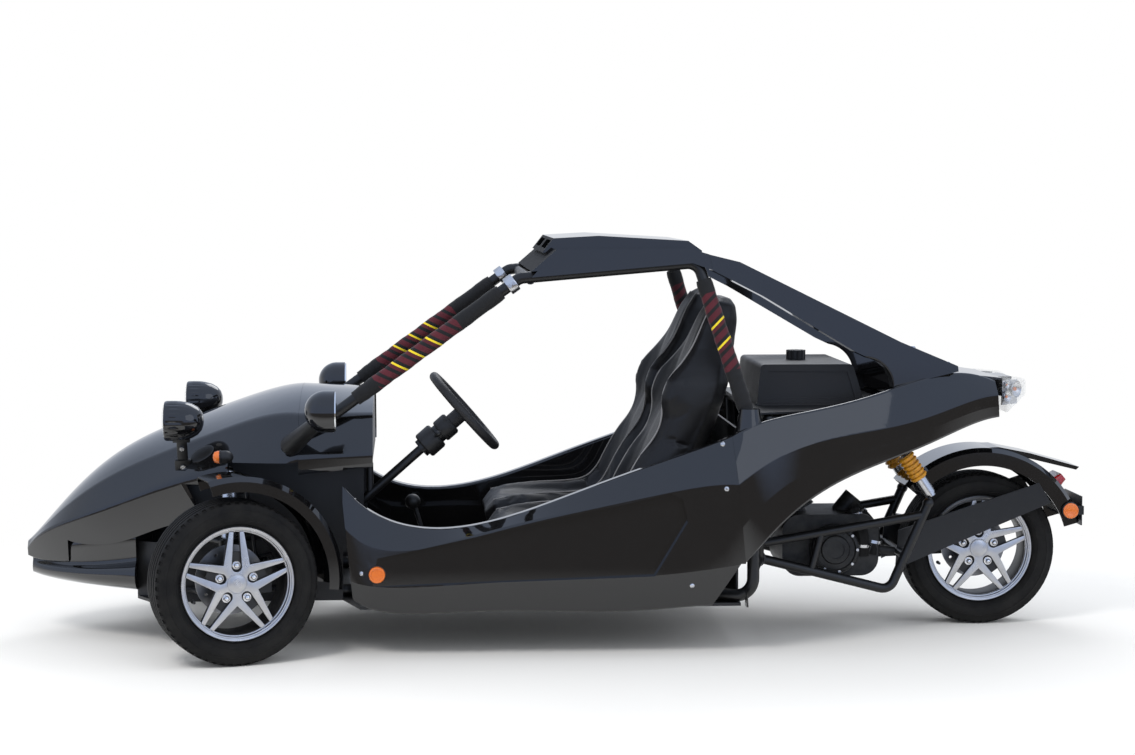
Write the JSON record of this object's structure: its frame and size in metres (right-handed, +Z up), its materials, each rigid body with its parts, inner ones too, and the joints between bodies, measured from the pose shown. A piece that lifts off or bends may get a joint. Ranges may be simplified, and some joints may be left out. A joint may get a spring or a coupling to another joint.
{
  "type": "open three-wheeled roadster",
  "caption": "Open two-seat three-wheeled roadster with two steered front wheels, one rear wheel, a roll cage with a roof panel and buttresses, and a long pointed nose.",
  "frame": {"origin": "on the ground, under the middle of the vehicle's box", "axes": "+Z up, +X to the rear, +Y to the vehicle's right"},
  "size_m": [3.608, 1.5639, 1.3449],
  "materials": {
    "gloss_black_paint": "gloss",
    "black_frame_steel": "satin",
    "black_plastic": "satin",
    "sleeve_fabric": "matte",
    "seat_leather": "satin",
    "grip_leather": "satin",
    "tyre_rubber": "matte",
    "machined_alloy": "polished",
    "bright_steel": "polished",
    "spring_paint": "gloss",
    "engine_alloy": "satin",
    "amber_lens": "gloss",
    "red_lens": "gloss",
    "clear_lens": "gloss",
    "mirror_glass": "mirror"
  },
  "bodies": {
    "chassis": {"amber_lenses": "amber_lens", "buttress_left": "gloss_black_paint", "buttress_right": "gloss_black_paint", "cage_sleeves": "sleeve_fabric", "chassis_frame": "black_frame_steel", "dashboard": "black_plastic", "engine": "engine_alloy", "exhaust": "bright_steel", "floor_pan": "black_plastic", "front_indicators": "black_plastic", "front_shocks": "bright_steel", "front_wishbones": "black_frame_steel", "fuel_cap": "black_plastic", "fuel_tank": "gloss_black_paint", "gear_lever": "black_plastic", "guard_carriers": "black_frame_steel", "headlamp_housings": "black_plastic", "headlamp_lenses": "clear_lens", "mirror_glasses": "mirror_glass", "mirror_housings": "black_plastic", "nose_cowl": "gloss_black_paint", "nose_lip": "gloss_black_paint", "pedals": "black_frame_steel", "plate_bracket": "black_frame_steel", "rack_housing": "black_frame_steel", "rear_lamp": "red_lens", "rear_mudguard": "gloss_black_paint", "rear_quarter_left": "gloss_black_paint", "rear_quarter_right": "gloss_black_paint", "rear_shelf": "black_plastic", "roll_cage": "black_frame_steel", "roof_panel": "gloss_black_paint", "scuttle": "gloss_black_paint", "seat_left": "seat_leather", "seat_right": "seat_leather", "seat_runners": "black_frame_steel", "shock_bodies": "bright_steel", "shock_springs": "spring_paint", "side_panel_left": "gloss_black_paint", "side_panel_right": "gloss_black_paint", "steering_column": "black_frame_steel", "swing_frame": "black_frame_steel", "tail_deck": "gloss_black_paint", "tail_lamps": "clear_lens"},
    "steering_wheel": {"steering_wheel": "grip_leather"},
    "steering_rack": {"steering_rack": "black_frame_steel"},
    "knuckle_left": {"knuckle_left": "black_frame_steel", "front_mudguard_left": "gloss_black_paint"},
    "wheel_left": {"tyre_left": "tyre_rubber", "rim_left": "machined_alloy", "disc_left": "bright_steel"},
    "knuckle_right": {"knuckle_right": "black_frame_steel", "front_mudguard_right": "gloss_black_paint"},
    "wheel_right": {"tyre_right": "tyre_rubber", "rim_right": "machined_alloy", "disc_right": "bright_steel"},
    "wheel_rear": {"tyre_rear": "tyre_rubber", "rim_rear": "machined_alloy", "disc_rear": "bright_steel"}
  },
  "joints": [
    {"name": "steering_turn", "type": "hinge", "parent": "chassis", "child": "steering_wheel", "pos_m": [-0.341, -0.3, 0.77], "axis": [0.7513, 0, 0.66], "range_deg": [-432, 108]},
    {"name": "kingpin_left", "type": "hinge", "parent": "chassis", "child": "knuckle_left", "pos_m": [-1.108, -0.535, 0.262], "axis": [0, 0, 1], "range_deg": [-48, 12]},
    {"name": "kingpin_right", "type": "hinge", "parent": "chassis", "child": "knuckle_right", "pos_m": [-1.108, 0.535, 0.262], "axis": [0, 0, 1], "range_deg": [-48, 12]},
    {"name": "rack_slide", "type": "slide", "parent": "chassis", "child": "steering_rack", "axis": [0, 1, 0], "range_m": [-0.09, 0.024]},
    {"name": "wheel_left_spin", "type": "hinge", "parent": "knuckle_left", "child": "wheel_left", "pos_m": [-1.08173, -0.61584, 0.262], "axis": [-0.309, 0.9511, 0], "continuous": true},
    {"name": "wheel_right_spin", "type": "hinge", "parent": "knuckle_right", "child": "wheel_right", "pos_m": [-1.13427, 0.61584, 0.262], "axis": [-0.309, 0.9511, 0], "continuous": true},
    {"name": "wheel_rear_spin", "type": "hinge", "parent": "chassis", "child": "wheel_rear", "pos_m": [1.438, 0, 0.262], "axis": [0, 1, 0], "continuous": true}
  ],
  "couplings": [
    {"joint": "kingpin_left", "follows": "steering_turn", "ratio": 0.11111},
    {"joint": "kingpin_right", "follows": "steering_turn", "ratio": 0.11111},
    {"joint": "rack_slide", "follows": "steering_turn", "m_per_rad": 0.011671}
  ]
}
